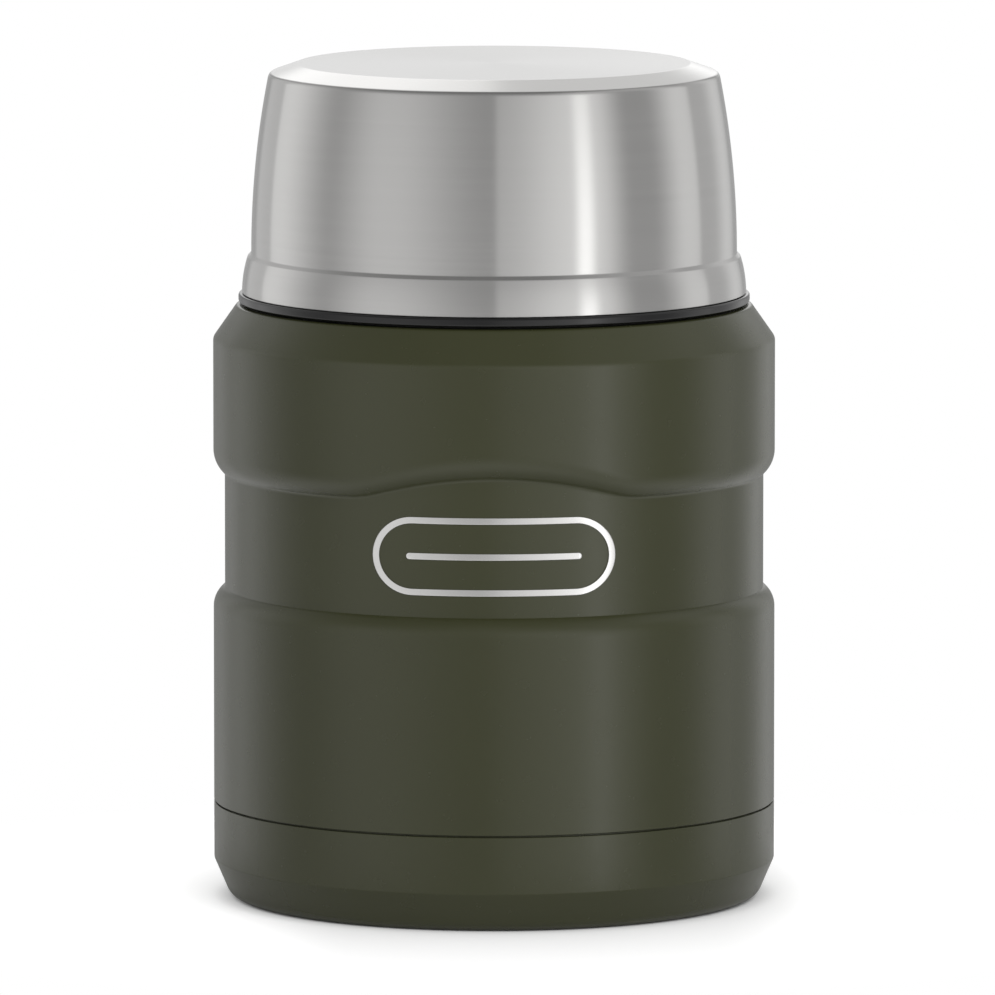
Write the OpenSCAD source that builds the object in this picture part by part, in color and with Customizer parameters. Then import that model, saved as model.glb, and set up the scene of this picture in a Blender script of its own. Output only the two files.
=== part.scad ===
// Insulated food jar: a double-walled steel body, a screwed lid that doubles as a bowl,
// and a threaded stopper that holds a folding spoon.
// Millimetres, +Z up. The origin is the centre of the standing plane, and the badge faces -Y.
// Radii step inwards from the barrel, and heights step up from the flat shoulder.

/* [Jar body] */
// Diameter of the barrel, the widest part
body_d = 94; // [78:1:114]
// Height of the flat shoulder above the standing plane
shoulder_h = 99.7; // [83:0.1:120]
// Radial run of the sloping shoulder
shoulder_run = 4; // [3:0.1:5]
// Height of the sloping shoulder
shoulder_slope_h = 5.7; // [4:0.1:7]
// Radius of the edge between the barrel and the sloping shoulder
barrel_edge_r = 1.5; // [1:0.1:2]
// Radius of the edge between the sloping and the flat shoulder
seat_edge_r = 1; // [0.6:0.1:1.4]
// Radius of the fillet between the flat shoulder and the neck
neck_fillet_r = 0.4; // [0.3:0.1:0.6]
// Thickness of the steel sheet of the body and the lid
sheet_t = 0.6; // [0.45:0.05:0.75]

/* [Waist] */
// Depth of the waist below the barrel
waist_depth = 1.9; // [1.5:0.1:2.4]
// Height of the waist's lower corner
waist_z = 52.2; // [45:0.1:56]
// Height of the straight part of the waist
waist_h = 19.1; // [15:0.1:22]
// Height of the rounded fold under the waist
fold_low_h = 3.4; // [2.5:0.1:4]
// Height of the rounded fold over the waist
fold_top_h = 4; // [3:0.1:4.5]
// Rise of the front arch over the waist's upper corner
arch_rise = 4; // [3:0.1:5]
// Width of the front arch where it leaves that corner
arch_w = 44.6; // [36:0.1:54]

/* [Base] */
// Height of the base cup
cup_h = 16; // [13:0.1:20]
// Height of the gap between the base cup and the shell
seam_gap = 0.3; // [0.2:0.05:0.8]
// Thickness of the base cup's wall
cup_wall = 0.7; // [0.55:0.05:1]
// Thickness of the base cup's floor
cup_floor_t = 1.2; // [1:0.1:1.6]
// Width of the ring that the jar stands on, out to the chamfer's line
foot_w = 8.5; // [6:0.5:12]
// Rise of the base cup's floor inside that ring
foot_rise = 1.2; // [0.8:0.1:1.6]
// Radial run of the base cup's chamfer, down to the standing plane
cup_chamfer_run = 2.8; // [2:0.1:4]
// Height of the chamfer's upper edge above the standing plane
cup_chamfer_h = 6.5; // [5:0.1:8.5]
// Radius of the base cup's lower edge
cup_edge_r = 2.6; // [2:0.1:3.2]
// Height of the end plate above the chamfer's upper edge
end_plate_lift = 1.1; // [0.5:0.1:2]
// Height of the end plate's flange
flange_h = 2.5; // [2:0.1:3.5]
// Outer radius of the adhesive pad
pad_r = 28; // [22:1:32]
// Radius of the hole in the adhesive pad
pad_hole_r = 12; // [8:1:16]

/* [Inner vessel] */
// Space between the vessel and the shell's waist
vacuum_gap = 1.7; // [1.4:0.1:2.5]
// Radius of the corner round the vessel's floor
vessel_corner_r = 6; // [4:0.5:9]
// Height of the vessel's inner shoulder
vessel_slope_h = 8.5; // [7:0.5:11]
// Radius of the corner under that shoulder
vessel_slope_r = 5; // [3:0.5:6]
// Height of the rim that stiffens the ledge from below
ledge_web_h = 1; // [0.8:0.1:1.5]
// Width of the ledge that the stopper's gasket seats on
ledge_w = 2.6; // [2.2:0.1:3.2]
// Depth of that ledge below the lip
ledge_depth = 14.5; // [13.5:0.1:17]

/* [Vacuum parts] */
// Radius of the pumping hole
pump_hole_r = 0.8; // [0.6:0.1:1.2]
// Width of the solder round the pumping hole
pump_bead_w = 1.8; // [1.4:0.1:2.4]
// Height of the solder under the pumping hole
pump_bead_h = 0.7; // [0.5:0.1:1]
// Distance of the getter from the axis
getter_x = 18; // [14:1:28]
// Radius of the getter capsule
getter_r = 4; // [3:0.1:5]
// Height of the getter capsule
getter_h = 2.2; // [1.8:0.1:3]
// Clearance between the getter's strap and the vessel's floor
getter_clearance = 0.7; // [0.5:0.1:2]
// Length of the getter's strap past the capsule, at each end
strap_reach = 3; // [2:0.5:5]
// Width of the getter's strap
strap_w = 4; // [3:0.1:6]
// Thickness of the getter's strap
strap_t = 0.3; // [0.2:0.05:0.4]
// Thickness of the foil round the vessel
foil_t = 0.2; // [0.1:0.05:0.3]
// Clearance between the foil and the vessel
foil_gap = 0.1; // [0.05:0.05:0.3]
// Distance from the foil's upper edge to the vessel's inner shoulder
foil_margin = 2; // [1:0.5:5]

/* [Neck and threads] */
// Height of the neck above the flat shoulder
neck_h = 12.3; // [10:0.1:15]
// Thickness of the double-walled neck
neck_wall = 2; // [1.8:0.1:2.6]
// Depth of every thread ridge
thread_depth = 1.2; // [1:0.05:1.45]
// Clearance between a ridge and the wall it runs along
thread_gap = 0.3; // [0.25:0.05:0.5]
// Height of one full turn of a thread
thread_lead = 16; // [13:0.5:20]
// Number of ridges side by side on each thread
thread_starts = 4; // [3:1:4]
// Width of a ridge at its root
ridge_root_w = 1.8; // [1.5:0.1:2.2]
// Width of a ridge at its crest
ridge_crest_w = 1; // [0.8:0.1:1.2]
// Clearance over and under the ridges in the lid's rim
ridge_gap = 0.1; // [0.05:0.05:0.4]
// Depth of the mouth's ridges below the lip
mouth_thread_drop = 4; // [3:0.5:5]

/* [Lid] */
// Height of the lid above the flat shoulder
lid_h = 40.3; // [33:0.1:48]
// Step from the shoulder's edge to the lid's rim
rim_inset = 0.25; // [0:0.05:0.5]
// Thickness of the rim's plastic at its lower edge
rim_wall = 2.65; // [2.6:0.05:3.2]
// Height of the rim's bead that shows under the steel
rim_bead_h = 1.5; // [1.4:0.1:2.2]
// Radius of the bead's edges
bead_edge_r = 0.45; // [0.2:0.05:0.6]
// Gap between the shoulder and the rim
rim_lift = 0.35; // [0.2:0.05:0.9]
// Reach of the rim's bead past the steel skirt
bead_reach = 0.6; // [0.3:0.1:0.8]
// Height of the lid's flared skirt
skirt_h = 6.1; // [4.9:0.1:7]
// Inward sweep of the flared skirt
skirt_sweep = 0.95; // [0.7:0.05:1]
// Radial step over the skirt
step_w = 0.6; // [0.4:0.05:0.7]
// Height of that step
step_h = 0.6; // [0.4:0.1:1]
// Inward sweep of the lid's wall
wall_sweep = 2.75; // [2:0.05:4]
// Radial run of the chamfer round the lid's top
top_chamfer_run = 5; // [4:0.1:6]
// Height of the chamfer round the lid's top
top_chamfer_h = 1.7; // [1.3:0.1:2.2]
// Radius of the edge between the lid's wall and that chamfer
top_edge_r = 1.1; // [0.9:0.1:1.6]
// Thickness of the air space over the liner
liner_gap = 3.3; // [2.5:0.1:4]
// Inward taper of the liner
liner_taper = 3; // [2.5:0.1:4]
// Radius of the liner's corner
liner_corner_r = 4; // [2:0.5:6]
// Clearance of the liner from the neck
liner_clearance = 0.4; // [0.3:0.05:0.5]
// Clearance between the liner's flange and the rim
liner_lift = 0.2; // [0.1:0.05:0.4]
// Width of the soft ring under the rim
seal_w = 1.2; // [1:0.1:1.4]
// Height of the soft ring under the rim
seal_h = 1.8; // [1.5:0.1:2]

/* [Stopper] */
// Clearance between the grip and the jar's lip
grip_lift = 0.3; // [0.2:0.1:0.5]
// Height of the grip
grip_h = 10.7; // [9.5:0.1:13]
// Clearance between the grip and the lid's liner
grip_clearance = 0.9; // [0.7:0.1:1.4]
// Chamfer round the grip's top
grip_edge = 1; // [0.6:0.1:1.5]
// Number of finger grooves round the grip
groove_count = 36; // [24:1:44]
// Radius of a finger groove
groove_r = 1.3; // [1:0.1:1.5]
// Wall of the plug
plug_wall = 2; // [1.6:0.1:2.4]
// Thickness of the plug's floor
plug_floor_t = 1.8; // [1.5:0.1:2.2]
// Drop of the plug's floor below the ledge
plug_drop = 0.9; // [0.7:0.1:1.2]
// Height of the gasket
gasket_h = 2; // [1.6:0.1:2.4]
// Reach of the gasket over the ledge
gasket_reach = 1; // [0.8:0.1:1.4]
// Width of the gasket
gasket_w = 2.4; // [2:0.1:2.8]
// Width of the bead that keeps the gasket on the plug
bead_w = 0.5; // [0.4:0.1:0.7]
// Wall between the pocket's ends and the grip's side
pocket_wall = 3; // [2.8:0.1:3.6]
// Clearance between the spoon's bowl and the pocket's sides
pocket_side_gap = 1.6; // [1:0.1:2.5]
// Clearance between the spoon and the pocket's ends
pocket_end_gap = 1.5; // [1.2:0.1:2.5]
// Thickness of the pocket's floor
pocket_floor_t = 1.7; // [1.5:0.1:2.2]
// Depth of the spigot that centres the grip in the plug
spigot_h = 1.5; // [1:0.1:2]

/* [Spoon] */
// Length of the spoon's bowl
bowl_l = 38; // [30:1:46]
// Width of the spoon's bowl
bowl_w = 27; // [22:1:33]
// Depth of the spoon's bowl
bowl_depth = 5.6; // [4.6:0.1:6.8]
// Thickness of the spoon's steel
spoon_t = 1; // [0.8:0.1:1.2]
// Width of the spoon's neck
spoon_neck_w = 6; // [5:0.5:8]
// Drop of the spoon's neck below the bowl's rim
neck_drop = 0.6; // [0.5:0.1:1]
// Width of the spoon's handle at its hinge
handle_w = 10; // [9:0.2:12]
// Width of the spoon's handle at its end
handle_end_w = 13; // [11:0.5:15]
// Radius of the spoon's hinge eye
eye_r = 2; // [1.8:0.1:2.4]
// Thickness of the handle's two ears
ear_t = 1.2; // [1:0.1:1.4]
// Radius of the rivet
rivet_r = 1; // [0.8:0.1:1.1]
// Thickness and overhang of the rivet's heads
rivet_head_t = 0.5; // [0.4:0.1:0.7]

/* [Badge] */
// Width of the badge
badge_w = 40; // [30:1:50]
// Height of the badge
badge_h = 13; // [9:0.5:15]
// Width of the badge's outline
badge_line_w = 1.1; // [0.8:0.1:1.6]
// Thickness of the badge
badge_t = 0.25; // [0.15:0.05:0.5]
// Clearance between the badge's bar and its outline's ends
badge_bar_gap = 4.4; // [2:0.1:6]
// Rise of the badge over the middle of the waist
badge_rise = 0.6; // [-1:0.1:1]

/* [Fits] */
// Clearance between pieces that are glued, pressed or laid together
fit_gap = 0.05; // [0.03:0.01:0.08]
// Clearance round loose pieces
loose_gap = 0.3; // [0.2:0.05:0.5]

/* [Hidden] */
$fn = 96;
arc_n = 8;
bow_n = 12;
full_turn = 360;
// How far cuts and joined solids run past a face
over = 1;

paint = "#44453a";
steel = "#c4c2be";
vessel_steel = "#b4b2ae";
black_plastic = "#1b1b1d";
black_rubber = "#262628";
foam_white = "#e6e4dc";
foil_silver = "#d8d4c8";
solder = "#9c9a92";

// Radii of the body, from the barrel inwards
body_r = body_d / 2;
waist_r = body_r - waist_depth;
tuck_r = body_r - cup_wall - fit_gap;
vessel_r = waist_r - 2 * sheet_t - vacuum_gap;
vessel_out_r = vessel_r + sheet_t;
seat_r = body_r - shoulder_run;

// Radii of the neck and its fits, from the lid's rim inwards
rim_r = seat_r - rim_inset;
rim_bore_r = rim_r - rim_wall;
neck_crest_r = rim_bore_r - thread_gap;
neck_r = neck_crest_r - thread_depth;
rim_crest_r = neck_r + thread_gap;
mouth_r = neck_r - neck_wall;
mouth_crest_r = mouth_r - thread_depth;
plug_r = mouth_crest_r - thread_gap;
ledge_r = mouth_r - ledge_w;
gasket_r = ledge_r + gasket_reach;
gasket_bore_r = gasket_r - gasket_w;
plug_neck_r = gasket_bore_r - fit_gap;
bead_r = plug_neck_r + bead_w;

// Heights of the body
waist_top_z = waist_z + waist_h;
fold_low_z = waist_z - fold_low_h;
fold_top_z = waist_top_z + fold_top_h;
end_plate_z = cup_chamfer_h + end_plate_lift;
cup_floor_z = foot_rise + cup_floor_t;
fold_top_r = (pow(waist_depth, 2) + pow(fold_top_h, 2)) / (2 * waist_depth);
arch_r = (pow(arch_w / 2, 2) + pow(arch_rise, 2)) / (2 * arch_rise);
arch_z = waist_top_z + arch_rise - arch_r;
arch_steps = 5;
slope_z = shoulder_h - shoulder_slope_h;
lip_z = shoulder_h + neck_h;
ledge_z = lip_z - ledge_depth;
vessel_floor_z = end_plate_z + 2 * sheet_t + getter_h + strap_t + getter_clearance;
ledge_web_z = ledge_z - ledge_web_h;
vessel_slope_z = ledge_web_z - vessel_slope_h;

// Heights of the lid
lid_top_z = shoulder_h + lid_h;
rim_z = shoulder_h + rim_lift;
skirt_z = rim_z + rim_bead_h + fit_gap;
skirt_top_z = skirt_z + skirt_h;
wall_z = skirt_top_z + step_h;
chamfer_z = lid_top_z - top_chamfer_h;
skirt_r = rim_r - bead_reach;
skirt_top_r = skirt_r - skirt_sweep;
wall_r = skirt_top_r - step_w;
wall_top_r = wall_r - wall_sweep;
seal_top_z = shoulder_h + seal_h + fit_gap;
liner_z = skirt_top_z + liner_lift;
liner_r = neck_r + liner_clearance;
liner_top_z = lid_top_z - sheet_t - liner_gap - sheet_t;
liner_flange_r = wall_r - sheet_t - 2 * fit_gap;
seal_r = rim_bore_r + fit_gap + seal_w;

// Heights of the stopper
grip_z = lip_z + grip_lift;
grip_top_z = grip_z + grip_h;
liner_sweep_at_grip = liner_taper * pow((grip_top_z - liner_z) / (liner_top_z - liner_z), 2);
grip_r = liner_r - liner_sweep_at_grip - grip_clearance;
plug_low_z = ledge_z - plug_drop;
gasket_top_z = ledge_z + gasket_h;
plug_bore_r = plug_r - plug_wall;
plug_neck_bore_r = plug_neck_r - plug_wall;
plug_floor_z = plug_low_z + plug_floor_t;
plug_step_z = gasket_top_z + plug_wall;
foam_top_z = grip_z - spigot_h - fit_gap;
pocket_floor_z = grip_z + pocket_floor_t;

// Threads: each ridge climbs through the whole height between the lid's seal and the rim's top.
// A mating pair's ridges fill the same height, and one set is turned by mesh_turn, so that each
// ridge hangs just under its neighbour
ridge_rise = skirt_top_z - seal_top_z - 2 * ridge_gap - ridge_root_w;
ridge_arc = full_turn * ridge_rise / thread_lead;
ridge_embed = 0.25;
ridge_n = 20;
mesh_turn = full_turn * ridge_root_w / thread_lead;
neck_thread_z = seal_top_z + ridge_gap + ridge_root_w / 2;
mouth_thread_z = lip_z - mouth_thread_drop - ridge_rise - ridge_root_w / 2;

// Spoon, laid out along X in the pocket, with its hinge at the +X end
pocket_l = 2 * (grip_r - pocket_wall);
pocket_w = bowl_w + 2 * pocket_side_gap;
spoon_low_z = pocket_floor_z + fit_gap;
bowl_rim_z = spoon_low_z + bowl_depth;
handle_tip_x = pocket_end_gap - pocket_l / 2;
bowl_x = handle_tip_x + bowl_l / 2;
hinge_x = pocket_l / 2 - pocket_end_gap - eye_r;
hinge_z = bowl_rim_z - neck_drop;
handle_z = hinge_z + eye_r + loose_gap;
ear_y = spoon_neck_w / 2 + loose_gap / 2;

// Badge
badge_z = waist_z + waist_h / 2 + badge_rise;
badge_bar_l = badge_w - 2 * badge_line_w - 2 * badge_bar_gap;

// ---------- Outlines: lists of [radius, height] ----------

function unit(v) = v / norm(v);
function flip(list) = [for (i = [len(list) - 1:-1:0]) list[i]];

function arc(c, r, a0, a1, n = arc_n) =
  [for (i = [0:n]) c + r * [cos(a0 + (a1 - a0) * i / n), sin(a0 + (a1 - a0) * i / n)]];

// An arc that starts upright at [r, z] and has moved inwards by sweep at the height z + h
function bow(r, z, sweep, h, n = bow_n) =
  let (big = (h * h + sweep * sweep) / (2 * sweep))
  arc([r - big, z], big, 0, asin(h / big), n);

// The arc of radius r that rounds the corner b between a and c
function corner(a, b, c, r) =
  let (
    u = unit(a - b),
    v = unit(c - b),
    half = acos(u * v) / 2,
    m = b + unit(u + v) * r / sin(half),
    s = b + u * r / tan(half) - m,
    e = b + v * r / tan(half) - m,
    a0 = atan2(s[1], s[0]),
    turn = (atan2(e[1], e[0]) - a0 + 3 * 180) % full_turn - 180
  )
  arc(m, r, a0, a0 + turn);

// The path moved sideways by t, to the left of its direction when t is positive
function beside(path, t) =
  let (last = len(path) - 1)
  [
    for (i = [0:last])
      let (
        d1 = unit(path[max(i, 1)] - path[max(i, 1) - 1]),
        d2 = unit(path[min(i, last - 1) + 1] - path[min(i, last - 1)]),
        n1 = [-d1[1], d1[0]],
        n2 = [-d2[1], d2[0]]
      )
      path[i] + (n1 + n2) * t / (1 + n1 * n2)
  ];

function sheet(path, t) = concat(path, flip(beside(path, t)));

// The point that the path's last stretch reaches when it is carried on until it is h higher
function carried_on(path, h) =
  let (last = len(path) - 1, d = unit(path[last] - path[last - 1]))
  path[last] + d * h / d[1];

// ---------- Shared shapes ----------

module turned(points) {
  rotate_extrude() polygon(points);
}

module tube(r_out, r_in, z0, z1) {
  translate([0, 0, z0])
    difference() {
      cylinder(r = r_out, h = z1 - z0);
      translate([0, 0, -over]) cylinder(r = r_in, h = z1 - z0 + 2 * over);
    }
}

// One thread ridge on a wall of radius r. depth is positive outwards and negative inwards.
module ridge(r, depth) {
  side = depth > 0 ? 1 : -1;
  points = [
    for (i = [0:ridge_n])
      let (
        a = ridge_arc * i / ridge_n,
        z = ridge_rise * i / ridge_n,
        run_out = min(1, 0.25 + i / 3, 0.25 + (ridge_n - i) / 3),
        root = r - side * ridge_embed,
        crest = r + depth * run_out
      )
      for (p = [
        [root, -ridge_root_w / 2], [crest, -ridge_crest_w / 2],
        [crest, ridge_crest_w / 2], [root, ridge_root_w / 2]
      ])
        [p[0] * cos(a), p[0] * sin(a), z + p[1]]
  ];
  sides = [
    for (i = [0:ridge_n - 1])
      for (j = [0:3])
        let (a = 4 * i + j, b = 4 * i + (j + 1) % 4)
        for (f = [[a, b, b + 4], [a, b + 4, a + 4]])
          f
  ];
  ends = [[0, 2, 1], [0, 3, 2], [4 * ridge_n, 4 * ridge_n + 1, 4 * ridge_n + 2],
    [4 * ridge_n, 4 * ridge_n + 2, 4 * ridge_n + 3]];
  faces = concat(sides, ends);
  polyhedron(points, side > 0 ? faces : [for (f = faces) flip(f)]);
}

// A thread's ridges, whose middle lines start at height z
module thread(r, depth, z, start = 0) {
  for (k = [0:thread_starts - 1])
    translate([0, 0, z])
      rotate([0, 0, start + k * full_turn / thread_starts])
        ridge(r, depth);
}

// A slot outline with round ends, along X
module slot_outline(l, w) {
  square([l - w, w], center = true);
  for (s = [-1, 1])
    translate([s * (l - w) / 2, 0]) circle(d = w);
}

// ---------- Jar ----------

// The outside of the shell, from the tuck in the base cup up to the lip
function shell_path() = concat(
  [
    [tuck_r, end_plate_z],
    [tuck_r, cup_h + seam_gap],
    [body_r, cup_h + seam_gap]
  ],
  bow(body_r, fold_low_z, waist_depth, fold_low_h),
  flip(bow(body_r, fold_top_z, waist_depth, -fold_top_h)),
  corner([body_r, waist_top_z], [body_r, slope_z], [seat_r, shoulder_h], barrel_edge_r),
  corner([body_r, slope_z], [seat_r, shoulder_h], [neck_r, shoulder_h], seat_edge_r),
  corner([seat_r, shoulder_h], [neck_r, shoulder_h], [neck_r, lip_z], neck_fillet_r),
  [[neck_r, lip_z - sheet_t]]
);

// The part of space in front of the jar within r of the arch's centre
module arch_disc(r) {
  intersection() {
    translate([0, 0, arch_z])
      rotate([90, 0, 0])
        cylinder(r = r, h = body_d);
    translate([-body_r, -body_d, waist_top_z - waist_h / 2])
      cube([body_d, body_d, waist_h + arch_rise + fold_top_h]);
  }
}

// The radius of the rounded fold at the distance s above its lower corner
function fold_at(s) = body_r - fold_top_r + sqrt(pow(fold_top_r, 2) - pow(fold_top_h - s, 2));

module outer_shell() color(paint) {
  difference() {
    union() {
      turned(sheet(shell_path(), sheet_t));
      intersection() {
        arch_disc(arch_r + fold_top_h);
        tube(body_r - sheet_t / 2, waist_r - sheet_t, waist_top_z - over, slope_z);
      }
    }
    for (k = [0:arch_steps - 1])
      let (s = fold_top_h * k / arch_steps)
        difference() {
          arch_disc(arch_r + s);
          cylinder(r = fold_at(s), h = lip_z);
        }
  }
  thread(neck_r, thread_depth, neck_thread_z);
}

// The inside of the vessel, from the middle of its floor up to the lip
function vessel_path() = concat(
  [[0, vessel_floor_z]],
  arc([vessel_r - vessel_corner_r, vessel_floor_z + vessel_corner_r], vessel_corner_r, -90, 0),
  corner(
    [vessel_r, vessel_floor_z], [vessel_r, vessel_slope_z], [ledge_r, ledge_web_z], vessel_slope_r
  ),
  [
    [ledge_r, ledge_web_z],
    [ledge_r, ledge_z],
    [mouth_r, ledge_z],
    [mouth_r, lip_z],
    [neck_r, lip_z]
  ]
);

module inner_vessel() color(vessel_steel) {
  turned(sheet(vessel_path(), -sheet_t));
  thread(mouth_r, -thread_depth, mouth_thread_z);
}

module shell_end_plate() color(vessel_steel) {
  bend_r = tuck_r - 2 * sheet_t;
  difference() {
    turned(sheet([
      [0, end_plate_z + sheet_t],
      [bend_r, end_plate_z + sheet_t],
      [bend_r, end_plate_z + flange_h]
    ], -sheet_t));
    translate([0, 0, end_plate_z - over]) cylinder(r = pump_hole_r, h = sheet_t + 2 * over);
  }
}

module evacuation_seal() color(solder) {
  bead_r = pump_hole_r + pump_bead_w;
  translate([0, 0, end_plate_z]) cylinder(r = pump_hole_r, h = sheet_t);
  translate([0, 0, end_plate_z - pump_bead_h])
    cylinder(r1 = bead_r - pump_bead_h, r2 = bead_r, h = pump_bead_h);
}

module getter_capsule() color(solder)
  translate([getter_x, 0, end_plate_z + sheet_t])
    cylinder(r = getter_r, h = getter_h);

module getter_strap() color(vessel_steel) {
  half_l = getter_r + strap_reach;
  translate([getter_x, 0, end_plate_z + sheet_t])
    difference() {
      translate([-half_l, -strap_w / 2, 0])
        cube([2 * half_l, strap_w, getter_h + strap_t]);
      translate([strap_t - half_l, -strap_w, -over])
        cube([2 * (half_l - strap_t), 2 * strap_w, getter_h + over]);
    }
}

module radiation_foil() color(foil_silver)
  tube(
    vessel_out_r + foil_gap + foil_t, vessel_out_r + foil_gap,
    vessel_floor_z + vessel_corner_r, vessel_slope_z - foil_margin
  );

module base_pad() color(foam_white)
  tube(pad_r, pad_hole_r, cup_floor_z, end_plate_z);

module base_cup() color(paint) {
  edge_r = body_r - cup_chamfer_run;
  foot_r = edge_r - foot_w;
  turned(concat(
    [[0, foot_rise], [foot_r - foot_rise, foot_rise], [foot_r, 0]],
    corner([0, 0], [edge_r, 0], [body_r, cup_chamfer_h], cup_edge_r),
    [
      [body_r, cup_chamfer_h],
      [body_r, cup_h],
      [body_r - cup_wall, cup_h],
      [body_r - cup_wall, cup_chamfer_h],
      [edge_r, cup_floor_z],
      [0, cup_floor_z]
    ]
  ));
}

module front_badge() color(steel)
  intersection() {
    translate([0, -waist_r / 2, badge_z])
      rotate([90, 0, 0])
        linear_extrude(height = waist_r) {
          difference() {
            slot_outline(badge_w, badge_h);
            slot_outline(badge_w - 2 * badge_line_w, badge_h - 2 * badge_line_w);
          }
          slot_outline(badge_bar_l, badge_line_w);
        }
    tube(waist_r + badge_t, waist_r, waist_z, waist_top_z);
  }

// ---------- Lid ----------

function skirt_path() = bow(skirt_r, skirt_z, skirt_sweep, skirt_h);

module lid_shell() color(steel) {
  wall = bow(wall_r, wall_z, wall_sweep, chamfer_z - wall_z - top_edge_r);
  top_edge = [wall_top_r - top_chamfer_run, lid_top_z];
  turned(sheet(concat(
    skirt_path(),
    wall,
    corner(wall[bow_n - 1], carried_on(wall, top_edge_r), top_edge, top_edge_r),
    [top_edge, [0, lid_top_z]]
  ), sheet_t));
}

module lid_liner() color(vessel_steel) {
  wall = bow(liner_r, liner_z, liner_taper, liner_top_z - liner_z - liner_corner_r);
  turned(sheet(concat(
    [[liner_flange_r, liner_z]],
    wall,
    corner(wall[bow_n - 1], carried_on(wall, liner_corner_r), [0, liner_top_z], liner_corner_r),
    [[0, liner_top_z]]
  ), -sheet_t));
}

module lid_rim() color(black_plastic) {
  bead_top_z = rim_z + rim_bead_h;
  behind_skirt = beside(skirt_path(), sheet_t + fit_gap);
  turned(concat(
    corner([seal_r, rim_z], [rim_r, rim_z], [rim_r, bead_top_z], bead_edge_r),
    corner([rim_r, rim_z], [rim_r, bead_top_z], [seal_r, bead_top_z], bead_edge_r),
    [[skirt_r - sheet_t - fit_gap, bead_top_z]],
    [for (p = behind_skirt) if (p[1] < skirt_top_z - 2 * sheet_t) p],
    [
      [rim_bore_r, skirt_top_z],
      [rim_bore_r, seal_top_z],
      [seal_r + fit_gap, seal_top_z],
      [seal_r + fit_gap, rim_z]
    ]
  ));
  thread(rim_bore_r, rim_crest_r - rim_bore_r, neck_thread_z, mesh_turn);
}

module lid_seal() color(black_rubber)
  tube(seal_r, seal_r - seal_w, shoulder_h, shoulder_h + seal_h);

// ---------- Stopper ----------

module stopper_cap() color(black_plastic)
  difference() {
    union() {
      translate([0, 0, grip_z]) cylinder(r = grip_r, h = grip_h - grip_edge);
      translate([0, 0, grip_top_z - grip_edge])
        cylinder(r1 = grip_r, r2 = grip_r - grip_edge, h = grip_edge);
      translate([0, 0, grip_z - spigot_h])
        cylinder(r = plug_bore_r - fit_gap, h = spigot_h + over);
    }
    translate([0, 0, pocket_floor_z])
      linear_extrude(height = grip_h) slot_outline(pocket_l, pocket_w);
    for (k = [0:groove_count - 1])
      rotate([0, 0, (k + 0.5) * full_turn / groove_count])
        translate([grip_r + groove_r / 2, 0, grip_z - over])
          cylinder(r = groove_r, h = grip_h + 2 * over, $fn = 32);
  }

module stopper_plug() color(black_plastic) {
  turned([
    [0, plug_low_z],
    [plug_neck_r, plug_low_z],
    [bead_r, plug_low_z + bead_w],
    [bead_r, ledge_z - fit_gap],
    [plug_neck_r, ledge_z - fit_gap],
    [plug_neck_r, gasket_top_z + fit_gap],
    [plug_r, gasket_top_z + fit_gap],
    [plug_r, grip_z],
    [plug_bore_r, grip_z],
    [plug_bore_r, plug_step_z],
    [plug_neck_bore_r, plug_step_z],
    [plug_neck_bore_r, plug_floor_z],
    [0, plug_floor_z]
  ]);
  thread(plug_r, thread_depth, mouth_thread_z, mesh_turn);
}

module stopper_foam() color(foam_white)
  turned([
    [0, plug_floor_z + fit_gap],
    [plug_neck_bore_r - fit_gap, plug_floor_z + fit_gap],
    [plug_neck_bore_r - fit_gap, plug_step_z + fit_gap],
    [plug_bore_r - fit_gap, plug_step_z + fit_gap],
    [plug_bore_r - fit_gap, foam_top_z],
    [0, foam_top_z]
  ]);

module stopper_gasket() color(black_rubber)
  tube(gasket_r, gasket_bore_r, ledge_z, gasket_top_z);

// ---------- Spoon ----------

module ellipsoid(a, b, c) {
  scale([a, b, c]) sphere(r = 1);
}

module spoon_bowl() color(steel) {
  neck_x = bowl_x + bowl_l / 2 - spoon_t / 2;
  translate([bowl_x, 0, bowl_rim_z])
    difference() {
      ellipsoid(bowl_l / 2, bowl_w / 2, bowl_depth);
      ellipsoid(bowl_l / 2 - spoon_t, bowl_w / 2 - spoon_t, bowl_depth - spoon_t);
      translate([-bowl_l, -bowl_w, 0]) cube([2 * bowl_l, 2 * bowl_w, bowl_depth + over]);
    }
  difference() {
    union() {
      translate([neck_x, -spoon_neck_w / 2, hinge_z - spoon_t / 2])
        cube([hinge_x - neck_x, spoon_neck_w, spoon_t]);
      across_hinge(eye_r, spoon_neck_w);
    }
    across_hinge(rivet_r, spoon_neck_w + 2 * over);
  }
}

// A round bar of length l along the hinge, halved by the plane y = 0
module across_hinge(r, l) {
  translate([hinge_x, l / 2, hinge_z])
    rotate([90, 0, 0]) cylinder(r = r, h = l);
}

module spoon_handle() color(steel) {
  end_x = handle_tip_x + handle_end_w / 2;
  difference() {
    union() {
      translate([0, 0, handle_z])
        linear_extrude(height = spoon_t) {
          translate([end_x, 0]) circle(d = handle_end_w);
          polygon([
            [end_x, -handle_end_w / 2], [hinge_x + eye_r, -handle_w / 2],
            [hinge_x + eye_r, handle_w / 2], [end_x, handle_end_w / 2]
          ]);
        }
      for (s = [-1, 1])
        translate([hinge_x, s * (ear_y + ear_t / 2), 0]) {
          translate([-eye_r, -ear_t / 2, hinge_z])
            cube([2 * eye_r, ear_t, handle_z - hinge_z + spoon_t / 2]);
          translate([0, ear_t / 2, hinge_z]) rotate([90, 0, 0]) cylinder(r = eye_r, h = ear_t);
        }
    }
    across_hinge(rivet_r + fit_gap, handle_w + 2 * over);
  }
}

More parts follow.
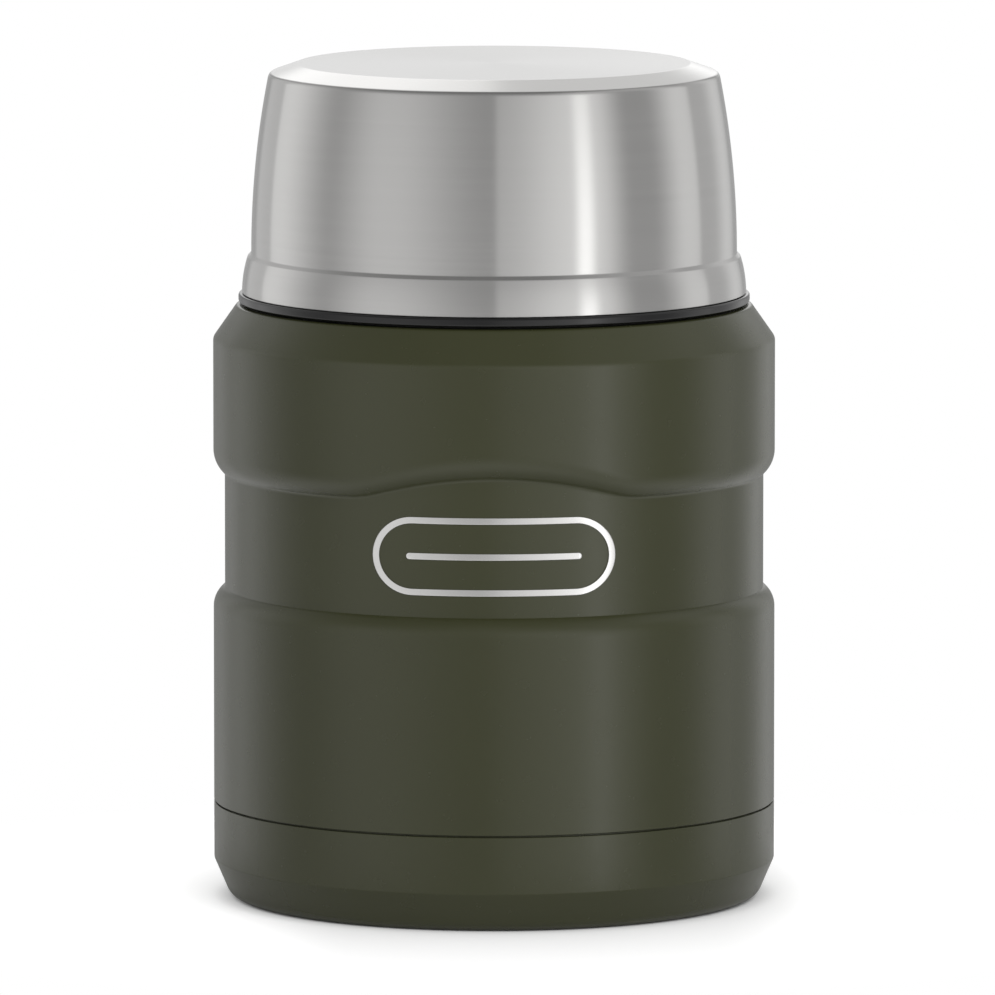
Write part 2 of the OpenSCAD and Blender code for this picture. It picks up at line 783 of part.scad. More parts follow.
module spoon_rivet() color(vessel_steel) {
  reach = ear_y + ear_t + fit_gap;
  across_hinge(rivet_r, 2 * reach);
  for (s = [-1, 1])
    translate([0, s * (reach + rivet_head_t / 2), 0])
      across_hinge(rivet_r + rivet_head_t, rivet_head_t);
}

outer_shell();
inner_vessel();
shell_end_plate();
evacuation_seal();
getter_capsule();
getter_strap();
radiation_foil();
base_pad();
base_cup();
front_badge();
lid_shell();
lid_liner();
lid_rim();
lid_seal();
stopper_cap();
stopper_plug();
stopper_foam();
stopper_gasket();
spoon_bowl();
spoon_handle();
spoon_rivet();
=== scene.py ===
"""Insulated food jar: the finish of every surface, the light and the camera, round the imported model.

The object's sizes are millimetres, and MM turns them into metres. Sizes in the materials, the floor, the
lamp and the camera are metres. +Z is up and the badge faces -Y. Outlines are lists of (radius, height).
"""
import math

import bpy
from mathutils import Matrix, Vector


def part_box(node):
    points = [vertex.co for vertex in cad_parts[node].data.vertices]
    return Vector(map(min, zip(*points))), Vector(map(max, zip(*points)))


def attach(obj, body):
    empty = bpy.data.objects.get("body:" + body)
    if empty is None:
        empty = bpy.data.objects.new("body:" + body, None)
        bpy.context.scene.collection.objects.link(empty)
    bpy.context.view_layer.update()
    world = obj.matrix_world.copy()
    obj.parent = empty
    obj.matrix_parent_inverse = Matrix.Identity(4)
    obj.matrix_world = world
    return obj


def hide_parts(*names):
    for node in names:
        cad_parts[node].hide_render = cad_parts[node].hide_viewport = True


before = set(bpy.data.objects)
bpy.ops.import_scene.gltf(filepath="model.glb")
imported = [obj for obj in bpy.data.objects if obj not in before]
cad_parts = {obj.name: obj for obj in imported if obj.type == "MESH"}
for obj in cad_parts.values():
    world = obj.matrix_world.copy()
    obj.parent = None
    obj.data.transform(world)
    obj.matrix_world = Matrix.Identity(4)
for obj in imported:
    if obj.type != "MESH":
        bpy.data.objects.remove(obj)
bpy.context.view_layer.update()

MM = 0.001
TURN = 2 * math.pi


def extents(node):
    """(outer radius, lowest, highest) of a CAD node, in millimetres."""
    low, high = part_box(node)
    return high.x / MM, low.z / MM, high.z / MM


# ---------- Sizes, from the frame where it has them ----------

SHEET = 0.6
BODY_R, SHELL_LOW_Z, NECK_TOP_Z = extents("outer_shell")
CUP_H = extents("base_cup")[2]
SKIRT_R, SKIRT_Z, LID_TOP_Z = extents("lid_shell")
RIM_R, RIM_Z, SKIRT_TOP_Z = extents("lid_rim")
SEAL_R, SHOULDER_Z, SEAL_TOP_Z = extents("lid_seal")
GASKET_R, LEDGE_Z, GASKET_TOP_Z = extents("stopper_gasket")
PLUG_LOW_Z = extents("stopper_plug")[1]
GRIP_R, SPIGOT_Z, GRIP_TOP_Z = extents("stopper_cap")
LIP_Z = extents("inner_vessel")[2]
LINER_TOP_Z = extents("lid_liner")[2] - SHEET

# Clearance between pieces that are glued, pressed or laid together
FIT_GAP = 0.05
# Body, from the barrel inwards and from the seam up
CUP_WALL = 0.7
SEAM_GAP = 0.3
SEAM_EDGE = 0.12
SEAM_INNER_EDGE = 0.15
TUCK_R = BODY_R - CUP_WALL - FIT_GAP
SEAM_TOP_Z = CUP_H + SEAM_GAP
WAIST_DEPTH = 1.9
WAIST_R = BODY_R - WAIST_DEPTH
WAIST_Z = 52.2
WAIST_TOP_Z = WAIST_Z + 19.1
FOLD_LOW_H = 3.4
FOLD_TOP_H = 4.0
ARCH_W = 44.6
ARCH_RISE = 4.0
SEAT_R = BODY_R - 4
SLOPE_Z = SHOULDER_Z - 5.7
# Neck, rim and stopper
RIM_BORE_R = RIM_R - 2.65
THREAD_GAP = 0.3
THREAD_DEPTH = 1.2
NECK_R = RIM_BORE_R - THREAD_GAP - THREAD_DEPTH
MOUTH_R = NECK_R - 2.0
PLUG_R = MOUTH_R - THREAD_DEPTH - THREAD_GAP
LEDGE_R = MOUTH_R - 2.6
GASKET_W = 2.4
PLUG_WALL = 2.0
GRIP_Z = LIP_Z + 0.3
# Lid
SEAL_W = 1.2
STEP_H = 0.6
STEP_W = 0.6
SKIRT_SWEEP = 0.95
WALL_R = SKIRT_R - SKIRT_SWEEP - STEP_W
WALL_SWEEP = 2.75
CHAMFER_W = 5.0
CHAMFER_H = 1.7
TOP_R = WALL_R - WALL_SWEEP - CHAMFER_W
CHAMFER_Z = LID_TOP_Z - CHAMFER_H
# Threads. Each ridge climbs as far as the height between the lid's seal and the rim's top lets it. One set
# of a mating pair is turned by MESH_TURN, which puts its ridges just under the other's
THREAD_STARTS = 4
THREAD_LEAD = 16.0
RIDGE_ROOT_W = 1.8
RIDGE_CREST_W = 1.0
RIDGE_GAP = 0.1
MOUTH_THREAD_DROP = 4.0
SEAL_ROOM_Z = SEAL_TOP_Z + FIT_GAP
RIDGE_RISE = SKIRT_TOP_Z - SEAL_ROOM_Z - 2 * RIDGE_GAP - RIDGE_ROOT_W
NECK_THREAD_Z = SEAL_ROOM_Z + RIDGE_GAP + RIDGE_ROOT_W / 2
MOUTH_THREAD_Z = LIP_Z - MOUTH_THREAD_DROP - RIDGE_RISE - RIDGE_ROOT_W / 2
MESH_TURN = TURN * RIDGE_ROOT_W / THREAD_LEAD
# Steps round the large outer pieces
FINE_SEGMENTS = 384


# ---------- Outlines ----------

def arc(centre, r, start, end, steps):
    """Points along an arc, from one angle to another in degrees."""
    angles = [math.radians(start + (end - start) * i / steps) for i in range(steps + 1)]
    return [(centre[0] + r * math.cos(a), centre[1] + r * math.sin(a)) for a in angles]


def bow(r, z, sweep, h, steps=24):
    """An arc that starts upright at (r, z) and has moved inwards by sweep at the height z + h."""
    big = (h * h + sweep * sweep) / (2 * sweep)
    return arc((r - big, z), big, 0, math.degrees(math.asin(h / big)), steps)


def rounded(points, closed=True):
    """The outline with a fillet at each point that has a third number, its radius."""
    fewest_steps, degrees_a_step = 3, 8
    out = []
    count = len(points)
    for i, point in enumerate(points):
        if len(point) < 3 or (not closed and i in (0, count - 1)):
            out.append(tuple(point[:2]))
            continue
        b = complex(*point[:2])
        to_a = complex(*points[i - 1][:2]) - b
        to_c = complex(*points[(i + 1) % count][:2]) - b
        u, v = to_a / abs(to_a), to_c / abs(to_c)
        half = math.acos(max(-1, min(1, (u * v.conjugate()).real))) / 2
        reach = point[2] / math.tan(half)
        centre = b + (u + v) / abs(u + v) * point[2] / math.sin(half)
        first, last = b + u * reach - centre, b + v * reach - centre
        turn = math.degrees(math.atan2((last / first).imag, (last / first).real))
        a0 = math.degrees(math.atan2(first.imag, first.real))
        steps = max(fewest_steps, math.ceil(abs(turn) / degrees_a_step))
        out += arc((centre.real, centre.imag), point[2], a0, a0 + turn, steps)
    return out


def beside(path, t):
    """The open path moved sideways by t, to the left of its direction when t is positive."""
    points = [complex(*p) for p in path]
    steps = [b - a for a, b in zip(points, points[1:])]
    normals = [1j * s / abs(s) for s in steps]
    out = []
    for i, p in enumerate(points):
        n1, n2 = normals[max(i - 1, 0)], normals[min(i, len(normals) - 1)]
        dot = (n1 * n2.conjugate()).real
        moved = p + (n1 + n2) * t / (1 + dot)
        out.append((moved.real, moved.imag))
    return out


# ---------- Meshes ----------

def new_piece(name, vertices, faces, body, slot, materials, material_of=None, replaces=()):
    """A piece from vertices in millimetres, with its materials, on its CAD body."""
    mesh = bpy.data.meshes.new(name)
    mesh.from_pydata([(x * MM, y * MM, z * MM) for x, y, z in vertices], [], faces)
    mesh.validate()
    for material in materials:
        mesh.materials.append(material)
    for polygon in mesh.polygons:
        polygon.use_smooth = True
        if material_of:
            polygon.material_index = material_of(polygon.center / MM)
    piece = bpy.data.objects.new(name, mesh)
    bpy.context.scene.collection.objects.link(piece)
    mesh.set_sharp_from_angle(angle=math.radians(32))
    normals = piece.modifiers.new("face_weighted_normals", "WEIGHTED_NORMAL")
    normals.keep_sharp = True
    normals.weight = 80
    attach(piece, body)
    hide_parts(*replaces)
    return piece


def spun(outline, segments=256, warp=None):
    """(vertices, faces) of a closed outline turned about Z, with outward faces if it runs anticlockwise.

    A radius may also be a function of the angle. Points on the axis become one vertex.
    """
    rings, vertices, faces = [], [], []
    for r, z in outline:
        if not callable(r) and abs(r) < 1e-6:
            rings.append([len(vertices)] * segments)
            vertices.append((0, 0, z))
            continue
        rings.append(list(range(len(vertices), len(vertices) + segments)))
        for i in range(segments):
            a = TURN * i / segments
            radius = r(a) if callable(r) else r
            height = warp(radius, z, a) if warp else z
            vertices.append((radius * math.cos(a), radius * math.sin(a), height))
    for lower, upper in zip(rings, rings[1:] + rings[:1]):
        for i in range(segments):
            j = (i + 1) % segments
            face = [lower[i], lower[j], upper[j], upper[i]]
            face = [v for k, v in enumerate(face) if v != face[k - 1]]
            if len(face) > 2:
                faces.append(face)
    return vertices, faces


def ridges(r, depth, z, start):
    """(vertices, faces) of a thread's ridges, each closed, on a wall of radius r."""
    root_w, crest_w, edge, embed = RIDGE_ROOT_W, RIDGE_CREST_W, 0.2, 0.3
    # At both ends a ridge sinks into the wall over run_out of its length, and narrows to end_w of its width
    steps, run_out, end_w, end_sink = 64, 0.1, 0.4, 0.02
    span = TURN * RIDGE_RISE / THREAD_LEAD
    side = 1 if depth > 0 else -1
    section = [(-embed, -root_w / 2), (0, -root_w / 2), (abs(depth) - edge, -crest_w / 2 - edge / 2),
               (abs(depth), -crest_w / 2 + edge), (abs(depth), crest_w / 2 - edge),
               (abs(depth) - edge, crest_w / 2 + edge / 2), (0, root_w / 2), (-embed, root_w / 2)]
    vertices, faces = [], []
    for k in range(THREAD_STARTS):
        first = len(vertices)
        for i in range(steps + 1):
            share = i / steps
            near_end = min(1, share / run_out, (1 - share) / run_out)
            height = math.sin(near_end * math.pi / 2)
            a = start + k * TURN / THREAD_STARTS + span * share
            for out, up in section:
                reach = r + side * (out * height if out > 0 else out - end_sink * (1 - height))
                vertices.append((reach * math.cos(a), reach * math.sin(a),
                                 z + RIDGE_RISE * share + up * (end_w + (1 - end_w) * height)))
        n = len(section)
        for i in range(steps):
            for j in range(n):
                a, b = first + n * i + j, first + n * i + (j + 1) % n
                faces.append((a, a + n, b + n, b) if side > 0 else (a, b, b + n, a + n))
        ends = [tuple(range(first, first + n)), tuple(range(first + n * steps, first + n * steps + n))]
        faces += [ends[0] if side > 0 else ends[0][::-1], ends[1][::-1] if side > 0 else ends[1]]
    return vertices, faces


def joined(*parts):
    """One (vertices, faces) pair from several."""
    vertices, faces = [], []
    for part_vertices, part_faces in parts:
        first = len(vertices)
        vertices += part_vertices
        faces += [tuple(v + first for v in face) for face in part_faces]
    return vertices, faces


# ---------- Materials ----------

class Nodes:
    """A short way to add and link nodes in one tree."""

    def __init__(self, tree):
        self.tree = tree
        tree.nodes.clear()

    def add(self, kind, inputs=None, **settings):
        node = self.tree.nodes.new(kind)
        for name, value in settings.items():
            setattr(node, name, value)
        for name, value in (inputs or {}).items():
            socket = node.inputs[name]
            if isinstance(value, bpy.types.NodeSocket):
                self.tree.links.new(value, socket)
            else:
                socket.default_value = value
        return node

    def math(self, operation, a, b=0.0, c=0.0):
        return self.add("ShaderNodeMath", {0: a, 1: b, 2: c}, operation=operation).outputs[0]

    def noise(self, vector, scale, detail, roughness=0.5):
        node = self.add("ShaderNodeTexNoise", {"Vector": vector, "Scale": scale, "Detail": detail,
                                               "Roughness": roughness})
        return node.outputs["Fac"]

    def spread(self, value, low, high):
        """A 0 to 1 value mapped to low to high."""
        node = self.add("ShaderNodeMapRange", {"Value": value, "To Min": low, "To Max": high})
        return node.outputs["Result"]

    def window(self, value, low, high):
        """0 where value is under low, 1 over high, smooth between. low may be the larger."""
        node = self.add("ShaderNodeMapRange", {"Value": value, "From Min": low, "From Max": high},
                        interpolation_type="SMOOTHSTEP")
        return node.outputs["Result"]

    def tint(self, fac, dark, light):
        node = self.add("ShaderNodeMix", {"Factor": fac}, data_type="RGBA")
        node.inputs[6].default_value = (*dark, 1)
        node.inputs[7].default_value = (*light, 1)
        return node.outputs[2]

    def bump(self, height, distance, strength, normal=None):
        inputs = {"Height": height, "Distance": distance, "Strength": strength}
        if normal:
            inputs["Normal"] = normal
        return self.add("ShaderNodeBump", inputs).outputs["Normal"]


def material(name):
    """A new material, its node helper and its object coordinates."""
    made = bpy.data.materials.new(name)
    made.use_nodes = True
    nodes = Nodes(made.node_tree)
    place = nodes.add("ShaderNodeTexCoord").outputs["Object"]
    return made, nodes, place


def surface(nodes, **inputs):
    shader = nodes.add("ShaderNodeBsdfPrincipled", {k.replace("_", " "): v for k, v in inputs.items()})
    nodes.add("ShaderNodeOutputMaterial", {"Surface": shader.outputs[0]})
    return shader


def shades(colour, spread):
    """A darker and a lighter shade of a colour."""
    return tuple(c * (1 - spread) for c in colour), tuple(c * (1 + spread) for c in colour)


def powder_coat(name, colour):
    made, nodes, place = material(name)
    mottle = nodes.noise(place, 60, 3)
    grain = nodes.noise(place, 2600, 2)
    peel = nodes.noise(place, 700, 2)
    surface(
        nodes,
        Base_Color=nodes.tint(mottle, *shades(colour, 0.05)),
        Roughness=nodes.spread(nodes.noise(place, 400, 3), 0.24, 0.29),
        IOR=1.5,
        Normal=nodes.bump(grain, 0.00002, 0.25, nodes.bump(peel, 0.00003, 0.22)),
    )
    return made


def brushed_steel(name, colour, roughness, aniso, lines=1.0, grazing=1.0):
    """Steel with fine lines round the Z axis, on walls and on discs alike."""
    made, nodes, place = material(name)
    axes = nodes.add("ShaderNodeSeparateXYZ", {"Vector": place}).outputs
    radius = nodes.math("SQRT", nodes.math("MULTIPLY_ADD", axes[0], axes[0],
                                           nodes.math("MULTIPLY", axes[1], axes[1])))
    across = nodes.math("ADD", radius, axes[2])

    def streaks(along, density, detail):
        vector = nodes.add("ShaderNodeCombineXYZ", {
            0: nodes.math("MULTIPLY", axes[0], along), 1: nodes.math("MULTIPLY", axes[1], along),
            2: nodes.math("MULTIPLY", across, density)}).outputs[0]
        return nodes.noise(vector, 1, detail, 0.6)

    fine = streaks(30, 7000, 3)
    broad = streaks(12, 900, 2)
    mixed = nodes.math("MULTIPLY_ADD", fine, 0.6, nodes.math("MULTIPLY", broad, 0.4))
    surface(
        nodes,
        Base_Color=nodes.tint(mixed, *shades(colour, 0.06 * lines)),
        Metallic=1.0,
        Specular_Tint=(grazing, grazing, grazing, 1),
        Roughness=nodes.spread(mixed, roughness - 0.05 * lines, roughness + 0.05 * lines),
        Anisotropic=aniso,
        Anisotropic_Rotation=0.25,
        Tangent=nodes.add("ShaderNodeTangent", direction_type="RADIAL", axis="Z").outputs[0],
        Normal=nodes.bump(fine, 0.000004, 0.3 * lines),
    )
    return made


def satin_steel(name, colour, roughness):
    """Polished or electropolished steel, with faint marks of handling."""
    made, nodes, place = material(name)
    marks = nodes.noise(place, 90, 4, 0.6)
    surface(
        nodes,
        Base_Color=nodes.tint(nodes.noise(place, 500, 2), *shades(colour, 0.03)),
        Metallic=1.0,
        Roughness=nodes.spread(marks, roughness - 0.05, roughness + 0.06),
        Normal=nodes.bump(nodes.noise(place, 1500, 2), 0.000006, 0.25),
    )
    return made


def moulded(name, colour, roughness, grain_scale, grain_depth):
    """Plastic or rubber with a fine moulded grain."""
    made, nodes, place = material(name)
    grain = nodes.noise(place, grain_scale, 2)
    surface(
        nodes,
        Base_Color=nodes.tint(nodes.noise(place, 120, 3), *shades(colour, 0.08)),
        Roughness=nodes.spread(nodes.noise(place, 300, 2), roughness - 0.05, roughness + 0.05),
        IOR=1.5,
        Normal=nodes.bump(grain, grain_depth, 0.5),
    )
    return made


def foam(name, colour):
    """Closed-cell foam, its colour darker in the cells' pits as painted shade."""
    made, nodes, place = material(name)
    pits_and_painted_shade = nodes.add("ShaderNodeTexVoronoi", {"Vector": place, "Scale": 1400}).outputs["Distance"]
    surface(
        nodes,
        # Painted shade: the colour darkens in the pits of the cells
        Base_Color=nodes.tint(pits_and_painted_shade, *shades(colour, 0.06)),
        Roughness=0.9,
        Normal=nodes.bump(pits_and_painted_shade, 0.00015, 0.6),
    )
    return made


def crinkled_foil(name, colour):
    """Bright foil with the creases of hand wrapping, its colour darker along them as painted shade."""
    made, nodes, place = material(name)
    creases_and_painted_shade = nodes.add("ShaderNodeTexVoronoi", {"Vector": place, "Scale": 120},
                        feature="DISTANCE_TO_EDGE").outputs["Distance"]
    surface(
        nodes,
        # Painted shade: the colour darkens along the creases
        Base_Color=nodes.tint(creases_and_painted_shade, *shades(colour, 0.04)),
        Metallic=1.0,
        Roughness=nodes.spread(nodes.noise(place, 200, 3), 0.15, 0.3),
        Normal=nodes.bump(creases_and_painted_shade, 0.0004, 0.5),
    )
    return made


paint = powder_coat("olive_powder_coat", (0.035, 0.0375, 0.014))
lid_steel = brushed_steel("brushed_lid_steel", (0.56, 0.555, 0.545), 0.23, 1.0)
top_steel = brushed_steel("spun_top_steel", (0.54, 0.535, 0.525), 0.2, 0.3, lines=1.2, grazing=0.9)
neck_steel = brushed_steel("brushed_neck_steel", (0.55, 0.545, 0.53), 0.32, 0.5, lines=0.8)
vessel_steel = satin_steel("electropolished_steel", (0.66, 0.65, 0.635), 0.3)
spoon_steel = satin_steel("polished_spoon_steel", (0.63, 0.62, 0.605), 0.17)
badge_steel = satin_steel("badge_steel", (0.74, 0.735, 0.72), 0.24)
rim_plastic = moulded("black_rim_plastic", (0.005, 0.005, 0.0052), 0.2, 2200, 0.00001)
grip_plastic = moulded("black_grip_plastic", (0.016, 0.016, 0.017), 0.42, 1500, 0.00004)
silicone = moulded("black_silicone", (0.02, 0.02, 0.021), 0.5, 1800, 0.00002)
white_foam = foam("closed_cell_foam", (0.76, 0.74, 0.68))
foil = crinkled_foil("bright_foil", (0.8, 0.79, 0.77))
solder = satin_steel("dull_solder", (0.36, 0.35, 0.33), 0.45)


# ---------- Jar ----------

ARCH_R = (ARCH_W ** 2 / 4 + ARCH_RISE ** 2) / (2 * ARCH_RISE)
ARCH_Z = WAIST_TOP_Z + ARCH_RISE - ARCH_R
ARCH_SOFTNESS = 0.7
CREASE_R = 0.9
# The arch's crease lies this much lower than its rise, so that the fold over it is gentler
ARCH_EASE = 0.25


def arched(r, z, a):
    """Lifts the fold over the waist along the arch at the front."""
    above = z - WAIST_TOP_Z
    if above < -CREASE_R or above > FOLD_TOP_H + SHEET or math.sin(a) > 0:
        return z
    x = r * math.cos(a)
    eased = above - ARCH_EASE * (1 - min(1, max(0, above / FOLD_TOP_H))) ** 2
    lifted = ARCH_Z + math.sqrt((ARCH_R + eased) ** 2 - x * x)
    return (z + lifted + math.sqrt((z - lifted) ** 2 + ARCH_SOFTNESS ** 2)) / 2


def body_shell():
    fold_steps = 14
    path = rounded([(TUCK_R, SHELL_LOW_Z), (TUCK_R, SEAM_TOP_Z, SEAM_INNER_EDGE),
                    (BODY_R, SEAM_TOP_Z, SEAM_EDGE), (BODY_R, WAIST_Z - FOLD_LOW_H)], closed=False)
    path += bow(BODY_R, WAIST_Z - FOLD_LOW_H, BODY_R - WAIST_R, FOLD_LOW_H, fold_steps)[1:]
    over_waist = bow(BODY_R, WAIST_TOP_Z + FOLD_TOP_H, BODY_R - WAIST_R, -FOLD_TOP_H, fold_steps)[::-1]
    path += rounded([path[-1], (*over_waist[0], CREASE_R), over_waist[2]], closed=False)[1:-1]
    path += over_waist[2:]
    path += rounded([(BODY_R, WAIST_TOP_Z), (BODY_R, SLOPE_Z, 1.5), (SEAT_R, SHOULDER_Z, 1.0),
                     (NECK_R, SHOULDER_Z, 0.4), (NECK_R, NECK_TOP_Z)], closed=False)[1:]
    outline = path + beside(path, SHEET)[::-1]
    vertices, faces = joined(
        spun(outline, FINE_SEGMENTS, arched),
        ridges(NECK_R, THREAD_DEPTH, NECK_THREAD_Z, 0),
    )
    bare = SHOULDER_Z + 0.15
    return new_piece("body_shell", vertices, faces, "jar", "body_paint", [paint, neck_steel],
                     material_of=lambda centre: int(centre.z > bare), replaces=["outer_shell"])


def cup():
    """The cup under the seam, on a standing ring round a recess with a raised disc in its middle."""
    chamfer_run, chamfer_h, lower_edge = 2.8, 6.5, 2.6
    disc_r, disc_z, recess_z, step_run = 18.0, 1.2, 1.7, 0.6
    foot_w, foot_run, inside_z, floor_z = 8.5, 1.2, 6.8, 2.4
    edge_r = BODY_R - chamfer_run
    foot_in_r = edge_r - foot_w
    wall_in_r = BODY_R - CUP_WALL
    outline = rounded([
        (0, disc_z), (disc_r, disc_z, 0.5), (disc_r + step_run, recess_z, 0.5),
        (foot_in_r - foot_run, recess_z, 0.4), (foot_in_r, 0, 0.5), (edge_r, 0, lower_edge),
        (BODY_R, chamfer_h, 0.8), (BODY_R, CUP_H, SEAM_EDGE), (wall_in_r, CUP_H, SEAM_INNER_EDGE),
        (wall_in_r, inside_z), (edge_r, floor_z), (0, floor_z)])
    return new_piece("base_cup_skin", *spun(outline, FINE_SEGMENTS), "jar", "body_paint", [paint],
                     replaces=["base_cup"])


def vessel():
    floor_z, corner_r, wall_r, slope_z = 12.0, 6.0, 42.2, 88.0
    inside = [(0, floor_z)] + arc((wall_r - corner_r, floor_z + corner_r), corner_r, -90, 0, 16)
    inside += rounded([(wall_r, floor_z + corner_r), (wall_r, slope_z, 5.0), (LEDGE_R, LEDGE_Z - 1, 0.4),
                       (LEDGE_R, LEDGE_Z, 0.25), (MOUTH_R, LEDGE_Z, 0.3), (MOUTH_R, LIP_Z, 0.6),
                       (NECK_R, LIP_Z)], closed=False)[1:]
    outline = inside + beside(inside, -SHEET)[::-1]
    outline[-1] = (0, outline[-1][1])
    vertices, faces = joined(
        spun(outline[::-1]),
        ridges(MOUTH_R, -THREAD_DEPTH, MOUTH_THREAD_Z, 0),
    )
    return new_piece("food_vessel", vertices, faces, "jar", "vessel_steel", [vessel_steel],
                     replaces=["inner_vessel"])


def stadium(half_l, r):
    """The radius, by angle, of a slot outline with round ends along X."""
    def at(a):
        c, s = abs(math.cos(a)), abs(math.sin(a))
        if s > 1e-9 and r * c / s <= half_l:
            return r / s
        return half_l * c + math.sqrt(r * r - (half_l * s) ** 2)
    return at


SLOT_STEPS = 32


def slot_loop(half_l, r):
    """Points (x, z), anticlockwise, of a slot outline with round ends along X."""
    points = []
    for side in (1, -1):
        first = -side * math.pi / 2
        ends = [first + math.pi * i / SLOT_STEPS for i in range(SLOT_STEPS + 1)]
        points += [(side * half_l + r * math.cos(a), r * math.sin(a)) for a in ends]
        points += [(side * half_l * (1 - 2 * i / SLOT_STEPS), side * r) for i in range(1, SLOT_STEPS)]
    return points


def slot_cap(first):
    """Faces across a slot outline whose points start at first, in strips between its two long sides."""
    faces = []
    for k in range(2 * SLOT_STEPS):
        upper = [SLOT_STEPS // 2 + k, SLOT_STEPS // 2 + k + 1]
        lower = [(SLOT_STEPS - i) % (4 * SLOT_STEPS) for i in reversed(upper)]
        face = [first + i for i in upper + lower]
        faces.append(tuple(v for j, v in enumerate(face) if v != face[j - 1]))
    return faces


def badge():
    """A slot outline with a bar in it, raised on the waist, with softened edges."""
    outer_w, outer_h, line_w, height, edge, bar_gap = 40.0, 13.0, 1.1, 0.25, 0.12, 4.4
    rise_over_middle, sunk = 0.6, 0.05
    centre_z = (WAIST_Z + WAIST_TOP_Z) / 2 + rise_over_middle

    def on_waist(x, z, out):
        r = WAIST_R + out
        return (x, -math.sqrt(r * r - x * x), centre_z + z)

    def stacked(half_l, r, section, closed):
        """Slot outlines at each (inset, out) of the section, skinned in turn."""
        loops = [[on_waist(x, z, out) for x, z in slot_loop(half_l, r - inset)] for inset, out in section]
        count = len(loops[0])
        faces = []
        for k in range(len(loops) if closed else len(loops) - 1):
            above = (k + 1) % len(loops)
            faces += [(k * count + i, k * count + (i + 1) % count,
                       above * count + (i + 1) % count, above * count + i) for i in range(count)]
        if not closed:
            faces += [face[::-1] for face in slot_cap(0)] + slot_cap((len(loops) - 1) * count)
        return [p for loop in loops for p in loop], faces

    rise = [(0, -sunk), (0, height - edge), (edge * 0.3, height - edge * 0.3), (edge, height)]
    ring = rise + [(line_w - inset, out) for inset, out in rise[::-1]]
    bar_l = outer_w - 2 * line_w - 2 * bar_gap
    return new_piece(
        "badge_emblem",
        *joined(stacked((outer_w - outer_h) / 2, outer_h / 2, ring, True),
                stacked((bar_l - line_w) / 2, line_w / 2, rise, False)),
        "jar", "badge_steel", [badge_steel], replaces=["front_badge"])


# ---------- Lid ----------

def lid_skin():
    path = bow(SKIRT_R, SKIRT_Z, SKIRT_SWEEP, SKIRT_TOP_Z - SKIRT_Z)
    wall_z, wall_steps, corner_r = SKIRT_TOP_Z + STEP_H, 48, 1.1
    wall = bow(WALL_R, wall_z, WALL_SWEEP, CHAMFER_Z - wall_z - corner_r, wall_steps)
    (r0, z0), (r1, z1) = wall[-2:]
    lean = (r1 - r0) / (z1 - z0)
    path = path[:-1] + rounded([path[-2], (*path[-1], 0.25), (*wall[0], 0.3), wall[1]], closed=False)[1:-1]
    path += wall[1:-1]
    path += rounded([wall[-1], (r1 + lean * (CHAMFER_Z - z1), CHAMFER_Z, corner_r), (TOP_R, LID_TOP_Z, 0.9),
                     (0, LID_TOP_Z)], closed=False)
    hem = rounded([(path[0][0] - SHEET, SKIRT_Z + 1), (path[0][0] - SHEET, SKIRT_Z, 0.2),
                   (path[0][0], SKIRT_Z, 0.2), path[1]], closed=False)[1:-1]
    inside = beside(path, SHEET)
    inside[-1] = (0, LID_TOP_Z - SHEET)
    outline = hem + path[1:] + inside[:0:-1]
    top_z = CHAMFER_Z - 0.1
    return new_piece("lid_skin", *spun(outline, FINE_SEGMENTS), "lid", "lid_steel", [lid_steel, top_steel],
                     material_of=lambda centre: int(centre.z > top_z), replaces=["lid_shell"])


def lid_ring():
    bead_edge = 0.45
    groove_r, top_z = SEAL_R + FIT_GAP, SKIRT_Z - FIT_GAP
    behind = beside(bow(SKIRT_R, SKIRT_Z, SKIRT_SWEEP, SKIRT_TOP_Z - SKIRT_Z), SHEET + FIT_GAP)
    outline = rounded([(groove_r, RIM_Z), (RIM_R, RIM_Z, bead_edge), (RIM_R, top_z, bead_edge),
                       (behind[0][0], top_z, 0.1), behind[2]], closed=False)[1:-1]
    outline += [p for p in behind[2:] if p[1] < SKIRT_TOP_Z - 2 * SHEET]
    outline += rounded([(behind[-1][0], SKIRT_TOP_Z - 2), (RIM_BORE_R + 0.25, SKIRT_TOP_Z, 0.2),
                        (RIM_BORE_R, SKIRT_TOP_Z, 0.1), (RIM_BORE_R, SEAL_ROOM_Z, 0.1),
                        (groove_r, SEAL_ROOM_Z, 0.1), (groove_r, RIM_Z, 0.15),
                        (SEAL_R + 0.6, RIM_Z)], closed=False)[1:-1]
    vertices, faces = joined(
        spun(outline, FINE_SEGMENTS),
        ridges(RIM_BORE_R, -THREAD_DEPTH, NECK_THREAD_Z, MESH_TURN),
    )
    return new_piece("lid_ring", vertices, faces, "lid", "black_plastic", [rim_plastic],
                     replaces=["lid_rim"])


def liner():
    lift, clearance, corner_r, taper = 0.2, 0.4, 4.0, 3.0
    low_z = SKIRT_TOP_Z + lift
    r = NECK_R + clearance
    wall = bow(r, low_z, taper, LINER_TOP_Z - low_z - corner_r)
    (r0, z0), (r1, z1) = wall[-2:]
    lean = (r1 - r0) / (z1 - z0)
    inside = rounded([(WALL_R - SHEET - 2 * FIT_GAP, low_z), (*wall[0], 0.3), wall[1]], closed=False)[:-1]
    inside += wall[1:-1]
    inside += rounded([wall[-1], (r1 + lean * corner_r, LINER_TOP_Z, corner_r), (0, LINER_TOP_Z)],
                      closed=False)
    outline = inside + beside(inside, -SHEET)[::-1]
    outline[-len(inside)] = (0, LINER_TOP_Z + SHEET)
    return new_piece("bowl_liner", *spun(outline[::-1]), "lid", "vessel_steel", [vessel_steel],
                     replaces=["lid_liner"])


